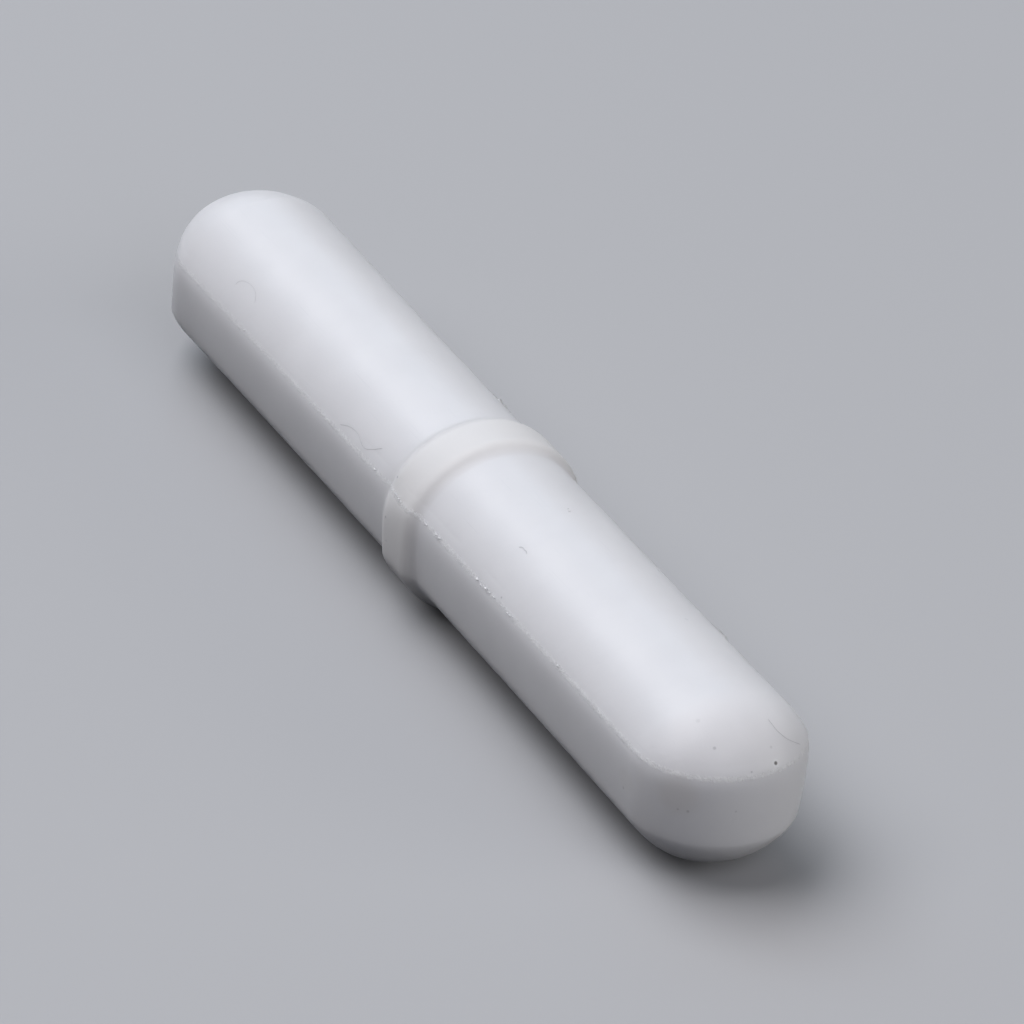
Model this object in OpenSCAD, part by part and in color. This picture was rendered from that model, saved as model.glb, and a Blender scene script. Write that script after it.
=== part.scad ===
// Magnetic stir bar with a pivot ring.
//
// A straight bar magnet is sealed inside one moulded PTFE jacket.  The jacket
// is a flat-sided bar: two upright side faces, joined over the top and under
// the bottom by shallow arcs, with full round ends.  A low ring is moulded
// round its middle, and the bar stands and turns on a narrow flat that glass
// has worn under the ring.
//
// Frame: origin under the middle of the ring, on the surface that the bar
// stands on, +X along the bar, +Z up.  Lengths are in millimetres.

/* [Bar] */
// Length of the bar, tip to tip
bar_l = 50.8; // [30:0.1:80]
// Width of the bar across its two side faces
bar_w = 7.9; // [6:0.1:12]
// Height of the bar, from the top arc's crown to the bottom arc's
bar_h = 7.9; // [6:0.1:10]
// Height of the upright side faces
side_h = 3.4; // [2:0.1:5]

/* [Pivot ring] */
// Width of the ring, along the bar
ring_w = 2.4; // [1.2:0.1:6]
// How far the ring stands proud of the bar
ring_proud = 0.35; // [0.35:0.05:1.5]
// Radius of the ring's two outer edges
ring_edge_r = 0.18; // [0.05:0.01:0.2]
// Radius of the fillet at each foot of the ring
ring_foot_r = 0.15; // [0.05:0.01:0.15]
// Width of the flat worn under the ring, across the bar
ring_land = 1.2; // [0.6:0.1:1.6]

/* [Parting bead] */
// How far the bead left by the mould stands out of the side faces
bead_proud = 0.06; // [0.02:0.01:0.15]
// Height of the bead
bead_h = 0.12; // [0.05:0.01:0.3]

/* [Magnet] */
// Thickness of the jacket beside the magnet
side_wall = 1.2; // [0.8:0.05:2]
// Thickness of the jacket at each tip
end_wall = 3.4; // [2.5:0.1:8]
// Gap left all round the magnet
magnet_fit = 0.02; // [0.01:0.01:0.1]
// Bevel on the magnet's ends
magnet_bevel = 0.4; // [0.1:0.05:0.8]

/* [Hidden] */
$fn = 96;

// Height of each arc above the rim where it meets the side faces
crown_h = (bar_h - side_h) / 2;
crown_r = (pow(bar_w / 2, 2) + pow(crown_h, 2)) / (2 * crown_h);
// The section is what two equal discs and a slab share.  The top arc belongs
// to the disc whose centre is this far below the middle of the bar, and the
// bottom arc to the one whose centre is as far above it.
disc_shift = crown_r - bar_h / 2;
// Each round end turns about an upright axis this far from the middle
end_x = (bar_l - bar_w) / 2;
// Height of the bar's long axis over the surface that the ring's flat stands
// on, where a disc as large as the ring is ring_land wide
axis_z = sqrt(pow(crown_r + ring_proud, 2) - pow(ring_land / 2, 2)) - disc_shift;
// The pocket in the jacket, and the magnet that fills it
pocket_d = min(bar_w, bar_h) - 2 * side_wall;
pocket_l = bar_l - 2 * end_wall;
magnet_d = pocket_d - 2 * magnet_fit;
magnet_l = pocket_l - 2 * magnet_fit;

// The bar's section: X across the bar, Y up
module section() {
    intersection() {
        translate([0, -disc_shift]) circle(r = crown_r);
        translate([0, disc_shift]) circle(r = crown_r);
        square([bar_w, bar_h], center = true);
    }
}

// The right half of a flat shape, ready to be turned about its upright axis
module right_half() {
    reach = bar_l;
    intersection() {
        children();
        translate([0, -reach / 2]) square(reach);
    }
}

// The straight length and the two full round ends, without the ring
module plain_bar() {
    rotate([90, 0, 90]) linear_extrude(height = 2 * end_x, center = true) section();
    for (side = [-1, 1])
        translate([side * end_x, 0, 0]) rotate_extrude() right_half() section();
}

// A rectangle whose corners are true arcs
module round_rect(size, r) {
    square([size[0] - 2 * r, size[1]], center = true);
    square([size[0], size[1] - 2 * r], center = true);
    for (x = [-1, 1], y = [-1, 1])
        translate([x * (size[0] / 2 - r), y * (size[1] / 2 - r)]) circle(r = r);
}

// A band that follows the bar's section all round.  Like the section it is
// shared by two discs, turned about axes along the bar, and an upright slab,
// whose lower end is the flat that the band stands on.  Child 0 is the profile
// of the discs and child 1 that of the slab, each drawn with X outwards and Y
// along the bar.
module girdle() {
    intersection() {
        translate([0, 0, -disc_shift])
            rotate([0, 90, 0]) rotate_extrude() right_half() children(0);
        translate([0, 0, disc_shift])
            rotate([0, 90, 0]) rotate_extrude() right_half() children(0);
        translate([0, 0, -axis_z])
            linear_extrude(height = 2 * bar_h) rotate(90) children(1);
    }
}

// Profile of the ring round a disc or slab that reaches out to half, with
// rounded outer edges and a fillet at each foot
module ring_profile(half) {
    round_rect([2 * (half + ring_proud), ring_w], ring_edge_r);
    foot = [half + ring_foot_r, ring_w / 2 + ring_foot_r];
    difference() {
        square(2 * foot, center = true);
        for (x = [-1, 1], y = [-1, 1])
            translate([x * foot[0], y * foot[1]]) circle(r = ring_foot_r);
    }
}

// The raised ring round the middle
module pivot_ring() {
    girdle() {
        ring_profile(crown_r);
        ring_profile(bar_w / 2);
    }
}

// The bead that the two halves of the mould leave where they part, along the
// upper rim of the side faces, round both ends and over the ring
module parting_bead() {
    reach = bar_w / 2 + bead_proud;
    translate([0, 0, side_h / 2 - bead_h / 2]) linear_extrude(height = bead_h) {
        square([2 * end_x, 2 * reach], center = true);
        for (side = [-1, 1]) translate([side * end_x, 0]) circle(r = reach);
        round_rect([ring_w + 2 * bead_proud, 2 * (reach + ring_proud)],
                   ring_edge_r + bead_proud);
    }
}

// A rod along the bar with bevelled ends: the magnet, and its pocket
module rod(d, l) {
    rotate([0, 90, 0]) rotate_extrude() polygon([
        [0, -l / 2], [d / 2 - magnet_bevel, -l / 2], [d / 2, magnet_bevel - l / 2],
        [d / 2, l / 2 - magnet_bevel], [d / 2 - magnet_bevel, l / 2], [0, l / 2]]);
}

// The jacket, moulded in one piece with its ring round the magnet
module jacket() {
    color([0.95, 0.95, 0.96])
    translate([0, 0, axis_z]) difference() {
        union() {
            plain_bar();
            pivot_ring();
            parting_bead();
        }
        rod(pocket_d, pocket_l);
    }
}

// The cast bar magnet, magnetised along its length
module bar_magnet() {
    color([0.36, 0.37, 0.39])
    translate([0, 0, axis_z]) rod(magnet_d, magnet_l);
}

jacket();
bar_magnet();
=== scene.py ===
import math

import bmesh
import bpy
import numpy as np
from mathutils import Matrix, Vector
from mathutils.bvhtree import BVHTree


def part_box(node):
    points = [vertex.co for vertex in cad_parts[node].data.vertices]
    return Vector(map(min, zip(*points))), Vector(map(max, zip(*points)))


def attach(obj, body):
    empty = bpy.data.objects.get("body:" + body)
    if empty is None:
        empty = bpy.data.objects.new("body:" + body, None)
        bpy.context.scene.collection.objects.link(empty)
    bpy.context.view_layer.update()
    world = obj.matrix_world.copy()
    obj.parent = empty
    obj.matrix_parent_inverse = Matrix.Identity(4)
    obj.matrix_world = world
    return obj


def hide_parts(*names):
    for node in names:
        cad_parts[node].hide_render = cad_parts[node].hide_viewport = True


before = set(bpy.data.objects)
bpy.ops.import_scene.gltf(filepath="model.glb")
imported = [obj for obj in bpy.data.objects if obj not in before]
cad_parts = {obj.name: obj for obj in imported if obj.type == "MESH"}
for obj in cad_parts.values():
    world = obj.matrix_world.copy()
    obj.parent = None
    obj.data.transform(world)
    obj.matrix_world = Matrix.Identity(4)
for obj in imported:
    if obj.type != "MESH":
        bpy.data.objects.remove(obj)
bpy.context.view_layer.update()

# ---------------------------------------------------------------------------
# Camera: a long lens on a copy stand, turned to look down one end of the bar
# so that the near round end, one side face and the ring all show.  It aims
# close to the middle of the bar's side band.
# ---------------------------------------------------------------------------
mm = 0.001
jacket_low, jacket_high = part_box("jacket")

# The middle of the side band stands over the floor by the ring under the bar,
# less what is worn off it, the rise of the bottom arc and half the band.
ring_under = 0.35 * mm
worn_depth = 0.037 * mm
bottom_rise = 2.26 * mm
band_half = 1.62 * mm
band_middle = jacket_low.z + ring_under - worn_depth + bottom_rise + band_half

view_turn = math.radians(-29.98)
view_height = math.radians(30.88)
view_roll = math.radians(-5.53)
stand_off = 591.4 * mm
aim = Vector((0.04 * mm, 1.58 * mm, band_middle))

toward = Vector((
    math.cos(view_height) * math.cos(view_turn),
    math.cos(view_height) * math.sin(view_turn),
    math.sin(view_height),
))
across = (-toward).cross(Vector((0, 0, 1))).normalized()
upward = toward.cross(across)
cam_x = math.cos(view_roll) * across - math.sin(view_roll) * upward
cam_y = math.sin(view_roll) * across + math.cos(view_roll) * upward

camera_data = bpy.data.cameras.new("stand_camera")
camera_data.sensor_width = 36
camera_data.lens = 477.4
camera_data.clip_start = 0.01
camera_data.clip_end = 20
camera = bpy.data.objects.new("stand_camera", camera_data)
bpy.context.scene.collection.objects.link(camera)
camera.matrix_world = Matrix.Translation(aim + toward * stand_off) @ Matrix(
    (cam_x, cam_y, toward)
).transposed().to_4x4()
bpy.context.scene.camera = camera

# ---------------------------------------------------------------------------
# Jacket: PTFE pressed and sintered in a split mould round the magnet, in one
# piece with the pivot ring.  The mould halves part along the upper rim of the
# side band, where a ragged burr was left and only roughly trimmed.
# ---------------------------------------------------------------------------
tip_inset = 0.04 * mm
bar_half = jacket_high.x - tip_inset
side_half = 3.92 * mm
waist = 0.11 * mm
nose_long = 3.62 * mm
nose_power = 2.055
nose_start = bar_half - nose_long
top_rise = 2.46 * mm
rim_climb = 0.010
rim_slant = 0.007

# The side band: its draft, its belly, the soft shoulder under its rim and its
# lower corner.
draft = 0.09 * mm
belly = 0.09 * mm
nose_belly = 0.05 * mm
shoulder = 0.11 * mm
shoulder_run = 0.27 * mm
soft_corner = 0.14 * mm

# The ring: how far it stands out over the top, at the rim and at the lower
# corner, the radii of its edges and feet, and how it lifts the rim.
ring_half = 1.2 * mm
ring_top = 0.31 * mm
ring_side = 0.3 * mm
ring_low = 0.44 * mm
ring_edge = 0.85 * mm
ring_foot = 0.95 * mm
ring_rim_up = 0.13 * mm

dice = np.random.default_rng(11)


def wander(along, step, seed):
    """A smooth random line between -1 and 1 that turns about once every step."""
    count = 4096
    start = 700
    knots = np.random.default_rng(seed).uniform(-1, 1, count)
    place = np.asarray(along) / step + start
    low = np.floor(place).astype(int)
    part = place - low
    part = part * part * (3 - 2 * part)
    return knots[low % count] * (1 - part) + knots[(low + 1) % count] * part


def collar(x):
    """Height of the ring's profile along the bar, from 0 on the bar to 1 on the ring.

    An arc rounds each edge and a larger hollow one runs it out into the bar."""
    stand = 0.5 * (ring_side + ring_top)
    steep = math.acos(1 - stand / (ring_edge + ring_foot))
    edge_run = ring_edge * math.sin(steep)
    foot_run = ring_foot * math.sin(steep)
    out = np.abs(x) - (ring_half - edge_run)
    on_edge = ring_edge - np.sqrt(np.maximum(ring_edge**2 - np.clip(out, 0, edge_run) ** 2, 0))
    left = np.clip(edge_run + foot_run - out, 0, foot_run)
    on_foot = ring_foot - np.sqrt(ring_foot**2 - left**2)
    height = np.where(out < edge_run, stand - on_edge, on_foot)
    return height / stand


# Stations run once round the rim: along the far side, round the end at +X,
# back along the near side and round the end at -X.
ring_zone = 2.1 * mm
ring_steps = 42
side_steps = 222
turn_steps = 124
spread = np.concatenate([
    np.linspace(0, ring_zone, ring_steps, endpoint=False),
    np.linspace(ring_zone, nose_start, side_steps),
])
straight = np.concatenate([-spread[:0:-1], spread])


def nose_outline(angle):
    """The end's outline in plan, a little blunter than a half circle."""
    c, s = np.cos(angle), np.sin(angle)
    x = nose_long * np.sign(c) * np.abs(c) ** (2 / nose_power)
    y = side_half * np.sign(s) * np.abs(s) ** (2 / nose_power)
    return x, y


def evenly(x, y, count):
    """Points at even distances along a line of points, without its two ends."""
    gone = np.concatenate([[0], np.cumsum(np.hypot(np.diff(x), np.diff(y)))])
    at = np.linspace(0, gone[-1], count + 2)[1:-1]
    return np.interp(at, gone, x), np.interp(at, gone, y)


fine_steps = 4000
fine_turn = np.linspace(math.pi / 2, -math.pi / 2, fine_steps)
nose_x, nose_y = evenly(*nose_outline(fine_turn), turn_steps)

half_width = side_half - waist * (1 - (straight / nose_start) ** 2)
proud = collar(straight)
rim_half = half_width + ring_side * proud
n_straight = len(straight)
no_ring = np.zeros(turn_steps)
foot_x = np.concatenate([straight, no_ring + nose_start, straight[::-1], no_ring - nose_start])
rim_x = np.concatenate([straight, nose_start + nose_x, straight[::-1], -nose_start - nose_x])
rim_y = np.concatenate([rim_half, nose_y, -rim_half[::-1], -nose_y])
ring_share = np.concatenate([proud, no_ring, proud[::-1], no_ring])
reach_x = rim_x - foot_x
reach = np.hypot(reach_x, rim_y)
stations = len(rim_x)
step_len = np.hypot(np.roll(rim_x, -1) - rim_x, np.roll(rim_y, -1) - rim_y)
along = np.cumsum(step_len) - step_len

# The end at -X is a little different from the other: fuller over its near
# side, softer at its rim, and leaning back from its lower corner up.
far_nose_blend = 0.6 * nose_long
far_nose_lean = 0.067
far_nose_full = 0.25
far_nose_swell = 0.5
far_share = np.clip((-rim_x - nose_start) / far_nose_blend, 0, 1)
far_share = far_share**2 * (3 - 2 * far_share)
swell = shoulder + (far_nose_swell * shoulder - shoulder) * far_share

# The burr: a thin lip all round whose depth and rise vary, with torn teeth
# here and there, rougher over the ring and all but gone round the far nose.
lip_least = 0.003 * mm
lip_lost = 0.8
teeth = np.maximum(wander(along, 0.3 * mm, 5) - 0.6, 0)
ring_teeth = np.maximum(wander(along, 0.13 * mm, 9), 0)
lip = 0.01 * mm + 0.008 * mm * wander(along, 0.9 * mm, 3) + 0.005 * mm * wander(along, 0.22 * mm, 4)
lip = np.maximum(lip + 0.06 * mm * teeth, lip_least) + 0.012 * mm * ring_share * ring_teeth
lip = lip * (1 - lip_lost * far_share)
lip_rise = 0.02 * mm * wander(along, 1.3 * mm, 6) + 0.01 * mm * wander(along, 0.2 * mm, 7)
lip_rise = lip_rise * (1 - lip_lost * far_share)


def flake(middle, length, depth, seed):
    """A flake of flash that was never trimmed off the far side."""
    inside = np.clip(1 - ((rim_x - middle) / (length / 2)) ** 2, 0, 1) * (rim_y > 0)
    ragged = 1 + 0.3 * wander(along, 0.25 * mm, seed)
    return depth * inside**0.35 * ragged


# The flakes stand out and up from the rim.
flash_out = 0.62
flash_up = 0.78
flash = flake(-5.8 * mm, 2.2 * mm, 0.27 * mm, 21)
flash = flash + flake(0.9 * mm, 0.4 * mm, 0.03 * mm, 22)
flash = flash + flake(14.6 * mm, 2.0 * mm, 0.19 * mm, 23)
lip = lip + flash_out * flash
lip_rise = lip_rise + flash_up * flash


def arc(rise, half, share):
    """Height of a shallow arc over its chord, at a share of the way from crown to rim."""
    radius = (half**2 + rise**2) / (2 * rise)
    return np.sqrt(np.maximum(radius**2 - (share * half) ** 2, 0)) - (radius - rise)


# The rim climbs a little toward +X and toward +Y, so the mould's two halves
# met on a slight slant; the crown over it stays level.
low_z = band_middle - band_half
crown_up = top_rise + ring_top * ring_share
crown_down = bottom_rise + ring_under * ring_share
arc_half = side_half + ring_side * ring_share
low_half = side_half + ring_low * ring_share


def rim_at(x, y):
    """Height of the parting line, which also steps up a little over the ring."""
    return band_middle + band_half + rim_climb * x + rim_slant * y + ring_rim_up * ring_share


def top_at(share):
    """Height of the top surface at every station, at a share of the way out to the rim."""
    x = foot_x + share * reach_x
    y = share * rim_y
    rise = arc(crown_up, arc_half, share) / crown_up
    # The far nose is fuller toward its near side.
    near_share = np.clip(0.6 - 0.6 * rim_y / side_half, 0, 1)
    rise = rise ** (1 - far_nose_full * far_share * near_share)
    return rim_at(x, y) + (crown_up - rim_climb * x - ring_rim_up * ring_share) * rise


def shoulder_at(depth):
    """How far the soft shoulder under the rim has swelled at a depth below it."""
    return swell * (1 - np.exp(-depth / shoulder_run))


rim_z = rim_at(rim_x, rim_y)
rows_share = []
rows_z = []


def add_row(share, z):
    """One ring of points round the bar."""
    rows_share.append(share * np.ones(stations))
    rows_z.append(z * np.ones(stations))


def widening(t):
    """Share of the way out from the crown at step t, in steps that shorten as they go."""
    last_turn = math.radians(75)
    return math.sin(t * last_turn) / math.sin(last_turn)


# Top: rows from the crown out to a trimming groove beside the rim, which
# comes and goes along the bar.  Trimming scraped the rim wider over the ring.
top_rows = 20
top_end = 0.45 * mm
scrape = 0.03 * mm * ring_share * (1 + 0.5 * wander(along, 0.2 * mm, 14))
last_share = 1 - (top_end + scrape) / reach
for k in range(top_rows):
    t = widening(k / (top_rows - 1))
    add_row(t * last_share, top_at(t * last_share))
groove = 0.02 * mm * np.maximum(wander(along, 2.1 * mm, 8) + 0.15, 0)
groove = groove + 0.008 * mm * wander(along, 0.2 * mm, 12)
# Each row's distance from the rim in millimetres, and its share of the groove's depth.
for from_rim, deep in ((0.38, 0.15), (0.33, 0.7), (0.3, 1), (0.26, 0.6), (0.21, 0.1), (0.15, 0)):
    share = 1 - (from_rim * mm + scrape) / reach
    add_row(share, top_at(share) - deep * groove)

# Rim: up over the lip of the burr, round its edge and back under it.
lip_share = lip / reach
lip_tuck = (0.07 * mm + scrape) / reach
lip_top = 0.04 * mm
lip_edge = 0.01 * mm
lip_under = 0.04 * mm
lip_root = 0.1 * mm
add_row(1 - lip_tuck, top_at(1 - lip_tuck))
rim_row = len(rows_share)
add_row(1 - 0.3 * lip_tuck + 0.4 * lip_share, rim_z + lip_top + 0.9 * lip_rise)
add_row(1 + lip_share, rim_z - lip_edge + lip_rise)
add_row(1 + 0.8 * lip_share + shoulder_at(lip_under) / reach, rim_z - lip_under + 0.9 * lip_rise)
add_row(1 + 0.2 * lip_share + shoulder_at(lip_root) / reach, rim_z - lip_root - 0.5 * scrape)

# Side band: upright but for a little draft and belly, with a soft lower corner.
# Its first row starts under the lip, and its last ends a little over the corner.
band_rows = 13
band_start = 0.13 * mm
band_short = 0.25 * mm
corner_rows = 6
band_height = rim_z - low_z
belly_blend = 2 * mm
nose_share = np.clip((np.abs(rim_x) - nose_start) / belly_blend, 0, 1)
bulge = 4 * (belly + (nose_belly - belly) * nose_share)
bulge = bulge * (1 - far_share)
low_step = (ring_low - ring_side) * ring_share - draft


def band_out(depth):
    """How far the side band stands out past the rim at a depth below it."""
    down = depth / band_height
    return shoulder_at(depth) + (low_step - swell) * down + bulge * down * (1 - down)


for k in range(band_rows):
    t = ((k + 0.35) / band_rows) ** 1.5
    depth = band_start + 0.5 * scrape + t * (band_height - soft_corner - band_short)
    add_row(1 + band_out(depth) / reach, rim_z - depth)
low_share = 1 + low_step / reach
inner_share = low_share * (1 - soft_corner / side_half)
corner_end_z = low_z - arc(crown_down, low_half, inner_share / low_share)
start_share = 1 + band_out(band_height - soft_corner) / reach
for k in range(corner_rows):
    t = k / (corner_rows - 1)
    add_row((1 - t) ** 2 * start_share + 2 * t * (1 - t) * low_share + t**2 * inner_share,
            (1 - t) ** 2 * (low_z + soft_corner) + 2 * t * (1 - t) * low_z + t**2 * corner_end_z)

# Bottom: a shallow arc, worn flat under the ring.
bottom_rows = 14
for k in range(1, bottom_rows + 1):
    share = inner_share * widening(1 - k / bottom_rows)
    add_row(share, np.maximum(low_z - arc(crown_down, low_half, share / low_share), jacket_low.z))

share_grid = np.array(rows_share)
z_grid = np.array(rows_z)
x_grid = foot_x + share_grid * reach_x
y_grid = share_grid * rim_y

# The far nose leans back the more the higher it is over its lower corner.
lean = far_nose_lean * far_share * np.clip(z_grid - low_z, 0, band_height)
x_grid = x_grid - lean * reach_x / reach
y_grid = y_grid - lean * rim_y / reach

# The ring's near edge at -X is worn round where it crosses the rim.
worn_x = -1.0 * mm
worn_in = 0.15 * mm
from_worn = np.hypot((x_grid - worn_x) / (0.75 * mm), (z_grid - rim_z) / (0.7 * mm))
from_worn = np.hypot(from_worn, (y_grid + rim_half.max()) / (0.9 * mm))
y_grid = y_grid + worn_in * np.exp(-(from_worn**2))

# The pressed skin isn't perfectly even: long shallow waves, a few microns
# deep, that leave the worn flat alone.
wave_count = 10
wave_depth = 0.0022 * mm
wave = np.zeros_like(x_grid)
for k in range(wave_count):
    heading = dice.uniform(0, 2 * math.pi)
    length = dice.uniform(2.2, 6) * mm
    swing = dice.uniform(0, 2 * math.pi)
    ahead = x_grid * math.cos(heading) + y_grid * math.sin(heading) + z_grid * 0.7
    wave += np.cos(2 * math.pi * ahead / length + swing)
over_flat = z_grid > jacket_low.z + 0.01 * mm
z_grid = np.where(over_flat, z_grid + wave_depth * wave, z_grid)

# Points and faces.  The first and last rows run along the middle of the top and
# the bottom, where a point of the far side meets its mirror on the near side.
rows = len(share_grid)
mirror = 2 * n_straight + turn_steps - 1 - np.arange(n_straight)
points = []
point_of = np.zeros((rows, stations), int)
for row in range(rows):
    first = len(points)
    if row in (0, rows - 1):
        # Both sides share this line, and each round end closes on its last point.
        for i in range(n_straight):
            points.append((x_grid[row, i], 0.0, 0.5 * (z_grid[row, i] + z_grid[row, mirror[i]])))
        shared = first + np.arange(n_straight)
        at_plus = np.full(turn_steps, shared[-1])
        at_minus = np.full(turn_steps, shared[0])
        point_of[row] = np.concatenate([shared, at_plus, shared[::-1], at_minus])
    else:
        points.extend(zip(x_grid[row], y_grid[row], z_grid[row]))
        point_of[row] = first + np.arange(stations)

faces = []
for row in range(rows - 1):
    upper = point_of[row]
    lower = point_of[row + 1]
    for i in range(stations):
        j = (i + 1) % stations
        corners = [upper[i], upper[j], lower[j], lower[i]]
        face = [int(c) for n, c in enumerate(corners) if c != corners[n - 1]]
        if len(face) > 2:
            faces.append(face)

jacket_mesh = bpy.data.meshes.new("moulded_jacket")
jacket_mesh.from_pydata([tuple(map(float, p)) for p in points], [], faces)
jacket_mesh.validate()
jacket_mesh.shade_smooth()
jacket = bpy.data.objects.new("moulded_jacket", jacket_mesh)
bpy.context.scene.collection.objects.link(jacket)


def node(tree, kind, **values):
    """Adds a shader node and sets its options and input values."""
    made = tree.nodes.new(kind)
    for name, value in values.items():
        if hasattr(made, name):
            setattr(made, name, value)
        else:
            made.inputs[name.replace("_", " ")].default_value = value
    return made


ptfe = bpy.data.materials.new("sintered_ptfe")
ptfe.use_nodes = True
tree = ptfe.node_tree
link = tree.links.new
skin = tree.nodes["Principled BSDF"]
skin.inputs["IOR"].default_value = 1.36
skin.inputs["Subsurface Weight"].default_value = 1.0
skin.inputs["Subsurface Radius"].default_value = (1.0, 1.0, 1.0)
skin.inputs["Subsurface Scale"].default_value = 1.0 * mm
place = node(tree, "ShaderNodeTexCoord").outputs["Object"]


def sum_of(kind, a, b):
    """A math node of one kind between two sockets or numbers."""
    made = node(tree, "ShaderNodeMath", operation=kind)
    for socket, given in zip(made.inputs, (a, b)):
        if hasattr(given, "is_output"):
            link(given, socket)
        else:
            socket.default_value = given
    return made.outputs[0]


def ramp(value, low, high, from_value=0.0, to_value=1.0):
    """Value carried smoothly from one range to another."""
    made = node(tree, "ShaderNodeMapRange", interpolation_type="SMOOTHSTEP")
    link(value, made.inputs["Value"])
    made.inputs["From Min"].default_value = low
    made.inputs["From Max"].default_value = high
    made.inputs["To Min"].default_value = from_value
    made.inputs["To Max"].default_value = to_value
    return made.outputs["Result"]


def grain(size, detail, rough, stretch=(1, 1, 1)):
    """Noise whose lumps are about as large as size, drawn out along the axes by stretch."""
    sized = node(tree, "ShaderNodeMapping", vector_type="POINT")
    sized.inputs["Scale"].default_value = [1 / (size * s) for s in stretch]
    link(place, sized.inputs["Vector"])
    made = node(tree, "ShaderNodeTexNoise", Scale=1, Detail=detail, Roughness=rough)
    link(sized.outputs[0], made.inputs["Vector"])
    return made.outputs["Fac"]


def tint(under, cover, amount):
    """One colour laid over another as far as amount."""
    made = node(tree, "ShaderNodeMix", data_type="RGBA")
    link(amount, made.inputs[0])
    if hasattr(under, "is_output"):
        link(under, made.inputs[6])
    else:
        made.inputs[6].default_value = (*under, 1)
    made.inputs[7].default_value = (*cover, 1)
    return made.outputs[2]


def near(spot, radius):
    """1 at a spot on the skin, fading to 0 at radius."""
    away = node(tree, "ShaderNodeVectorMath", operation="DISTANCE")
    link(place, away.inputs[0])
    away.inputs[1].default_value = spot
    return ramp(away.outputs["Value"], 0.35 * radius, radius, 1, 0)


# The bulk: a clean cold white with faint clouds, a fine pressed grain and
# light scratches that run mostly along the bar.
cold_white = (0.80, 0.80, 0.82)
cloud_white = (0.815, 0.815, 0.835)
pore_grey = (0.70, 0.71, 0.74)
scratch_grey = (0.72, 0.73, 0.76)
clouds = ramp(grain(2.6 * mm, 3, 0.5), 0.35, 0.65)
colour = tint(cold_white, cloud_white, clouds)
pores = ramp(grain(0.16 * mm, 3, 0.6), 0.66, 0.78, 0, 0.35)
colour = tint(colour, pore_grey, pores)
scratches = ramp(grain(0.09 * mm, 2, 0.5, (45, 1, 1)), 0.68, 0.75, 0, 0.3)
colour = tint(colour, scratch_grey, scratches)

# The ring is duller, and its colour is painted a shade warmer: a painted stand-in for the bluish
# soft-box reflection that the glossier bar shows and the duller ring lacks.
ring_painted_no_sheen_white = (0.81, 0.80, 0.795)
parts = node(tree, "ShaderNodeSeparateXYZ")
link(place, parts.inputs[0])
from_middle = sum_of("ABSOLUTE", parts.outputs["X"], 0.0)
on_ring = ramp(from_middle, 0.95 * mm, 1.9 * mm, 1, 0)
colour = tint(colour, ring_painted_no_sheen_white, sum_of("MULTIPLY", on_ring, 0.75))

# The burr is rough, and its grains are painted paler: a painted highlight for the
# light that the thin flash scatters, which fades toward the far nose.  off_rim is
# the height from the parting line, which lifts at the ring.
burr_painted_highlight_white = (0.90, 0.905, 0.92)
rim_plane = sum_of("ADD", sum_of("MULTIPLY", parts.outputs["X"], rim_climb),
                   sum_of("MULTIPLY", parts.outputs["Y"], rim_slant))
rim_plane = sum_of("ADD", rim_plane, sum_of("MULTIPLY", on_ring, 0.8 * ring_rim_up))
off_rim = sum_of("SUBTRACT", parts.outputs["Z"], rim_plane)
off_rim = sum_of("ABSOLUTE", sum_of("SUBTRACT", off_rim, band_middle + band_half), 0.0)
at_rim = ramp(off_rim, 0.03 * mm, 0.16 * mm, 1, 0)
painted_rim_highlight = sum_of("MULTIPLY", at_rim, ramp(grain(0.2 * mm, 3, 0.65), 0.44, 0.58, 0.05, 0.75))
painted_rim_highlight = sum_of("MULTIPLY", painted_rim_highlight, ramp(parts.outputs["X"], -20 * mm, -6 * mm, 0.25, 1))
colour = tint(colour, burr_painted_highlight_white, painted_rim_highlight)

# The skin is waxy, and duller on the ring and the burr.
rough = ramp(grain(1.2 * mm, 4, 0.6), 0.3, 0.7, 0.28, 0.36)
rough = sum_of("ADD", rough, sum_of("MULTIPLY", on_ring, 0.14))
rough = sum_of("ADD", rough, sum_of("MULTIPLY", at_rim, 0.12))
link(rough, skin.inputs["Roughness"])

# Relief: the pressed grain, shallow dents, the scratches and the burr's lumps.
lumps = ramp(grain(0.1 * mm, 2, 0.6), 0.45, 0.6)
height = sum_of("MULTIPLY", grain(0.12 * mm, 4, 0.65), 0.0022 * mm)
height = sum_of("ADD", height, sum_of("MULTIPLY", grain(0.9 * mm, 2, 0.5), 0.006 * mm))
height = sum_of("SUBTRACT", height, sum_of("MULTIPLY", scratches, 0.004 * mm))
rim_lumps = sum_of("MULTIPLY", sum_of("MULTIPLY", at_rim, lumps), 0.03 * mm)
height = sum_of("ADD", height, rim_lumps)
relief = node(tree, "ShaderNodeBump", Strength=1.0, Distance=1.0)
link(height, relief.inputs["Height"])
link(relief.outputs["Normal"], skin.inputs["Normal"])

# Marks: specks of grit pressed into the skin, one with a pale halo, and grease.
skin_shape = BVHTree.FromPolygons(points, faces)


def on_top(x, y):
    """The spot on the top of the jacket over a place in plan."""
    return skin_shape.ray_cast(Vector((x, y, 0.1)), Vector((0, 0, -1)))[0]


def on_band(x, y, z):
    """The spot on the side band that faces a place beside the bar."""
    out = Vector((x, y, 0)) - Vector((max(min(x, nose_start), -nose_start), 0, 0))
    aim_at = Vector((x, y, z)) + out
    return skin_shape.ray_cast(aim_at, -out.normalized())[0]


grit = (0.16, 0.15, 0.15)
stain = (0.52, 0.52, 0.54)
grease = (0.70, 0.66, 0.62)
halo_white = (0.88, 0.89, 0.91)


def speck(spot, radius, shade, strength):
    """A small speck or smear on the skin."""
    global colour
    colour = tint(colour, shade, sum_of("MULTIPLY", near(spot, radius), strength))


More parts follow.
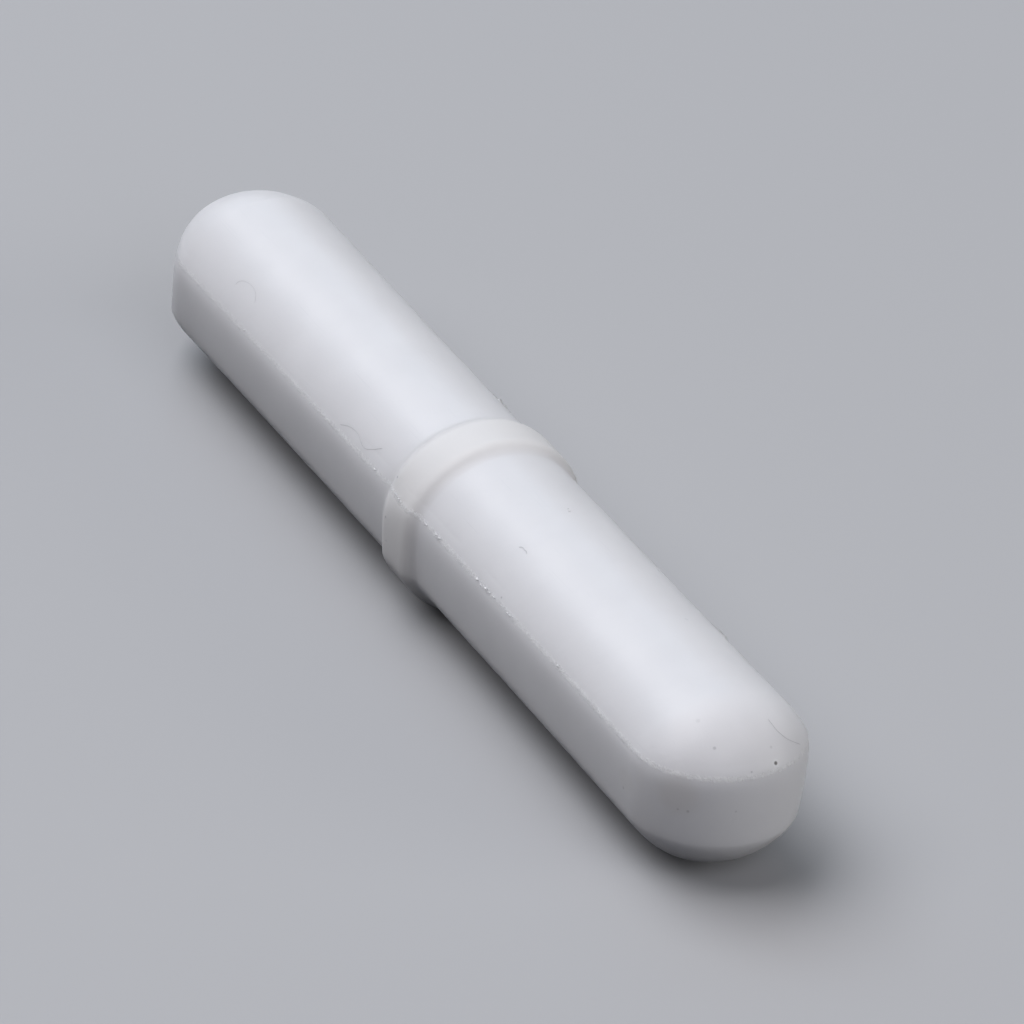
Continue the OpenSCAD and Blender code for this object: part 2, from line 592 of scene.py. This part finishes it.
halo_spot = on_top(25.14 * mm, 1.03 * mm)
speck(halo_spot, 0.24 * mm, halo_white, 0.8)
speck(halo_spot, 0.12 * mm, grit, 0.95)
speck(on_top(24.28 * mm, -1.52 * mm), 0.1 * mm, stain, 0.6)
speck(on_top(24.72 * mm, 0.97 * mm), 0.09 * mm, stain, 0.35)
speck(on_top(25.3 * mm, -0.2 * mm), 0.07 * mm, stain, 0.6)
speck(on_top(23.0 * mm, -1.7 * mm), 0.14 * mm, stain, 0.22)
speck(on_top(16.0 * mm, 1.4 * mm), 0.13 * mm, stain, 0.2)
speck(on_top(9.0 * mm, -3.7 * mm), 0.07 * mm, stain, 0.7)
speck(on_top(-1.0 * mm, -3.7 * mm), 0.09 * mm, stain, 0.9)
speck(on_band(-0.7 * mm, -4 * mm, band_middle + 0.5 * mm), 0.09 * mm, stain, 0.7)
speck(on_band(-0.5 * mm, -4 * mm, band_middle - 0.6 * mm), 0.07 * mm, stain, 0.4)
speck(on_band(21.3 * mm, -4 * mm, band_middle - 0.3 * mm), 0.09 * mm, stain, 0.6)
speck(on_band(24.2 * mm, -2.9 * mm, band_middle + 0.2 * mm), 0.07 * mm, stain, 0.5)
speck(on_band(24.5 * mm, -2.6 * mm, band_middle + 0.2 * mm), 0.09 * mm, stain, 0.6)
speck(on_band(25.3 * mm, -0.8 * mm, band_middle + 0.3 * mm), 0.08 * mm, stain, 0.35)
speck(on_band(24.2 * mm, -3.0 * mm, band_middle + 0.9 * mm), 1.3 * mm, grease, 0.22)
speck(on_band(21.5 * mm, -4.0 * mm, band_middle + 0.2 * mm), 0.8 * mm, grease, 0.12)
link(colour, skin.inputs["Base Color"])
jacket_mesh.materials.append(ptfe)

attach(jacket, "root")
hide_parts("jacket")

# ---------------------------------------------------------------------------
# Crumbs of the burr: torn shreds of PTFE that cling to the trimmed rim.  They
# lie thickest on the near side, from the ring's end to half way along.
# ---------------------------------------------------------------------------
ball = bmesh.new()
bmesh.ops.create_icosphere(ball, subdivisions=1, radius=1)
ball_points = np.array([tuple(v.co) for v in ball.verts])
ball_faces = [[v.index for v in f.verts] for f in ball.faces]
ball.free()

crumb_least = 0.022 * mm
crumb_range = 0.035 * mm
crumb_scatter = (0.025 * mm, 0.035 * mm, 0.016 * mm)
most_heavier = 0.7
most_long = 1.5
bumpiness = 0.28
chance_plain = 0.04
chance_heavy = 0.4
chance_ring = 0.06
chance_far = 0.3
heavy_from = -1.4 * mm
heavy_to = 16 * mm
heavy_rise = 1 * mm
heavy_fade = 8 * mm
near_side = rim_y < -0.6 * side_half
rim_line = np.stack([x_grid[rim_row], y_grid[rim_row], z_grid[rim_row]], axis=1)
heavy = near_side * np.clip((rim_x - heavy_from) / heavy_rise, 0, 1)
heavy = heavy * np.clip((heavy_to - rim_x) / heavy_fade, 0, 1)
chance = chance_plain + chance_heavy * heavy + chance_ring * ring_share
chance = chance * np.where(near_side, 1, chance_far)
chance = chance * np.clip(0.6 + 0.9 * wander(along, 0.7 * mm, 31), 0.05, 1)
crumb_points = []
crumb_faces = []
for i in range(stations):
    size = crumb_least + crumb_range * dice.random() ** 2
    size = size * (1 + most_heavier * dice.random() * heavy[i])
    long = dice.uniform(1.0, most_long)
    astray = dice.normal(0, 1, 3) * crumb_scatter
    bumpy = 1 + bumpiness * dice.normal(0, 1, len(ball_points))
    if dice.random() > chance[i]:
        continue
    run = rim_line[(i + 1) % stations] - rim_line[i]
    run = run / np.linalg.norm(run)
    shaped = ball_points * bumpy[:, None] * size
    shaped = shaped + np.outer(shaped @ run, run) * (long - 1)
    first = len(crumb_points)
    crumb_points.extend(map(tuple, shaped + rim_line[i] + astray))
    crumb_faces.extend([[first + k for k in f] for f in ball_faces])

crumbs_mesh = bpy.data.meshes.new("burr_crumbs")
crumbs_mesh.from_pydata([tuple(map(float, p)) for p in crumb_points], [], crumb_faces)
crumbs_mesh.shade_smooth()
crumbs = bpy.data.objects.new("burr_crumbs", crumbs_mesh)
bpy.context.scene.collection.objects.link(crumbs)

torn_grey = (0.88, 0.88, 0.90)
torn_white = (0.95, 0.95, 0.97)
shreds = bpy.data.materials.new("torn_ptfe")
shreds.use_nodes = True
tree = shreds.node_tree
link = tree.links.new
place = node(tree, "ShaderNodeTexCoord").outputs["Object"]
torn = tree.nodes["Principled BSDF"]
torn.inputs["IOR"].default_value = 1.36
torn.inputs["Subsurface Weight"].default_value = 0.15
torn.inputs["Subsurface Radius"].default_value = (1.0, 1.0, 1.0)
torn.inputs["Subsurface Scale"].default_value = 0.15 * mm
link(tint(torn_grey, torn_white, grain(0.15 * mm, 2, 0.5)), torn.inputs["Base Color"])
link(ramp(grain(0.05 * mm, 2, 0.5), 0.3, 0.7, 0.45, 0.65), torn.inputs["Roughness"])
crumbs_mesh.materials.append(shreds)

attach(crumbs, "root")

# ---------------------------------------------------------------------------
# Lint: a few fine fibres and snippets of dust that cling to the jacket's top,
# each laid along the skin.
# ---------------------------------------------------------------------------
lint_points = []
lint_faces = []


def fibre(route, thick):
    """A fine thread laid on the top through places given in millimetres in plan."""
    around = 6
    smoothings = 16
    count = 10 * len(route)
    at = np.linspace(0, len(route) - 1, count)
    knots = np.arange(len(route))
    plan = np.array(route, float)
    smooth_x = np.interp(at, knots, plan[:, 0])
    smooth_y = np.interp(at, knots, plan[:, 1])
    for k in range(smoothings):
        smooth_x[1:-1] = (smooth_x[:-2] + 2 * smooth_x[1:-1] + smooth_x[2:]) / 4
        smooth_y[1:-1] = (smooth_y[:-2] + 2 * smooth_y[1:-1] + smooth_y[2:]) / 4
    line = [on_top(x * mm, y * mm) + Vector((0, 0, 0.7 * thick * mm))
            for x, y in zip(smooth_x, smooth_y)]
    first = len(lint_points)
    for i, spot in enumerate(line):
        run = (line[min(i + 1, count - 1)] - line[max(i - 1, 0)]).normalized()
        side = run.cross(Vector((0, 0, 1))).normalized()
        lift = side.cross(run)
        slim = thick * mm * (0.55 if i in (0, count - 1) else 1)
        for k in range(around):
            turn = 2 * math.pi * k / around
            lint_points.append(tuple(spot + slim * (math.cos(turn) * side + math.sin(turn) * lift)))
    for i in range(count - 1):
        for k in range(around):
            a = first + i * around + k
            b = first + i * around + (k + 1) % around
            lint_faces.append((a, b, b + around, a + around))
    lint_faces.append(tuple(first + k for k in range(around))[::-1])
    lint_faces.append(tuple(first + (count - 1) * around + k for k in range(around)))


fibre([(-6.5, -3.7), (-6.05, -3.6), (-5.6, -3.54), (-5.2, -3.53), (-4.8, -3.58), (-4.5, -3.65),
       (-4.2, -3.66), (-3.95, -3.62), (-3.6, -3.5), (-3.2, -3.34)], 0.012)
fibre([(-17.9, -3.25), (-17.9, -3.15), (-17.7, -3.02), (-17.3, -2.93), (-16.8, -2.92),
       (-16.4, -3.0), (-16.1, -3.2)], 0.007)
fibre([(23.7, 1.3), (23.9, 1.4), (24.1, 1.5), (24.25, 1.7), (24.34, 1.95), (24.33, 2.26),
       (24.24, 2.68)], 0.011)
fibre([(7.67, -2.31), (7.76, -2.23), (7.89, -2.2), (8.02, -2.24), (8.16, -2.2),
       (8.3, -2.26)], 0.012)
fibre([(6.47, 0.58), (6.46, 0.63), (6.44, 0.69)], 0.014)
fibre([(6.68, 0.54), (6.67, 0.6), (6.65, 0.68)], 0.014)

lint_mesh = bpy.data.meshes.new("lint_fibres")
lint_mesh.from_pydata(lint_points, [], lint_faces)
lint_mesh.shade_smooth()
lint = bpy.data.objects.new("lint_fibres", lint_mesh)
bpy.context.scene.collection.objects.link(lint)

lint_grey = (0.54, 0.54, 0.56)
lint_pale = (0.74, 0.74, 0.76)
dust = bpy.data.materials.new("grey_lint")
dust.use_nodes = True
tree = dust.node_tree
link = tree.links.new
place = node(tree, "ShaderNodeTexCoord").outputs["Object"]
hair = tree.nodes["Principled BSDF"]
hair.inputs["Roughness"].default_value = 0.7
link(tint(lint_grey, lint_pale, grain(0.4 * mm, 2, 0.5)), hair.inputs["Base Color"])
lint_mesh.materials.append(dust)

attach(lint, "root")

# ---------------------------------------------------------------------------
# Magnet: a cast and ground rod sealed in the jacket's pocket.  It is hidden,
# and keeps the shape of its solid with a cast metal finish.
# ---------------------------------------------------------------------------
alloy_dark = (0.30, 0.305, 0.32)
alloy_pale = (0.42, 0.425, 0.44)
ground_dark = (0.22, 0.225, 0.24)
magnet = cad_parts["bar_magnet"]
alloy = bpy.data.materials.new("cast_alloy")
alloy.use_nodes = True
tree = alloy.node_tree
metal = tree.nodes["Principled BSDF"]
metal.inputs["Metallic"].default_value = 1.0
link = tree.links.new
place = node(tree, "ShaderNodeTexCoord").outputs["Object"]
cast = tint(alloy_dark, alloy_pale, ramp(grain(0.8 * mm, 5, 0.6), 0.35, 0.65))
ground = grain(0.05 * mm, 3, 0.6, (1, 30, 30))
link(tint(cast, ground_dark, ramp(ground, 0.6, 0.75, 0, 0.6)), metal.inputs["Base Color"])
link(ramp(grain(0.3 * mm, 3, 0.6), 0.3, 0.7, 0.35, 0.55), metal.inputs["Roughness"])
relief = node(tree, "ShaderNodeBump", Strength=1.0, Distance=1.0)
link(sum_of("MULTIPLY", ground, 0.004 * mm), relief.inputs["Height"])
link(relief.outputs["Normal"], metal.inputs["Normal"])
magnet.data.materials.clear()
magnet.data.materials.append(alloy)

# ---------------------------------------------------------------------------
# Floor and lights: a plain sheet of paper under the bar, a broad soft box over
# it, weaker ones off its two ends and a far corner, and a little room light.
# ---------------------------------------------------------------------------
# To the lens the paper is pale, and the light it throws back is a black card's.
seen_tone = (0.50, 0.505, 0.52, 1)
unseen_tone = (0.06, 0.06, 0.065, 1)
sheet_half = 3
sheet_corners = [(x * sheet_half, y * sheet_half, 0) for x, y in ((-1, -1), (1, -1), (1, 1), (-1, 1))]
sheet_mesh = bpy.data.meshes.new("pale_sheet")
sheet_mesh.from_pydata(sheet_corners, [], [(0, 1, 2, 3)])
sheet = bpy.data.objects.new("pale_sheet", sheet_mesh)
sheet.location.z = jacket_low.z
bpy.context.scene.collection.objects.link(sheet)
paper = bpy.data.materials.new("pale_paper")
paper.use_nodes = True
tree = paper.node_tree
surface = tree.nodes["Principled BSDF"]
surface.inputs["Roughness"].default_value = 0.9
surface.inputs["Specular IOR Level"].default_value = 0.1
ray = node(tree, "ShaderNodeLightPath")
seen = node(tree, "ShaderNodeMath", operation="MAXIMUM")
tree.links.new(ray.outputs["Is Camera Ray"], seen.inputs[0])
tree.links.new(ray.outputs["Is Glossy Ray"], seen.inputs[1])
seen_too = node(tree, "ShaderNodeMath", operation="MAXIMUM")
tree.links.new(seen.outputs[0], seen_too.inputs[0])
tree.links.new(ray.outputs["Is Transmission Ray"], seen_too.inputs[1])
tone = node(tree, "ShaderNodeMix", data_type="RGBA")
tone.inputs[6].default_value = unseen_tone
tone.inputs[7].default_value = seen_tone
tree.links.new(seen_too.outputs[0], tone.inputs[0])
tree.links.new(tone.outputs[2], surface.inputs["Base Color"])
sheet_mesh.materials.append(paper)


def soft_box(name, where, size, power, colour):
    """A soft box that faces the bar."""
    lamp = bpy.data.lights.new(name, "AREA")
    lamp.shape = "RECTANGLE"
    lamp.size, lamp.size_y = size
    lamp.energy = power
    lamp.color = colour
    box = bpy.data.objects.new(name, lamp)
    box.location = where
    box.rotation_mode = "QUATERNION"
    box.rotation_quaternion = Vector(where).to_track_quat("Z", "Y")
    bpy.context.scene.collection.objects.link(box)


soft_box("over_box", (-0.19, -0.21, 0.53), (0.75, 0.45), 3.48, (0.99, 0.975, 1.0))
soft_box("back_box", (-0.47, 0.02, 0.37), (0.62, 0.3), 0.62, (0.6, 0.82, 1.0))
soft_box("end_box", (0.47, 0, 0.37), (0.4, 0.4), 0.8, (0.92, 0.93, 1.0))
soft_box("corner_box", (0.41, 0.41, 0.14), (0.4, 0.4), 1.0, (1.0, 0.98, 0.95))

room = bpy.data.worlds.new("room")
room.use_nodes = True
room.node_tree.nodes["Background"].inputs["Color"].default_value = (0.75, 0.77, 0.8, 1)
room.node_tree.nodes["Background"].inputs["Strength"].default_value = 0.05
bpy.context.scene.world = room
bpy.context.scene.view_settings.view_transform = "Standard"
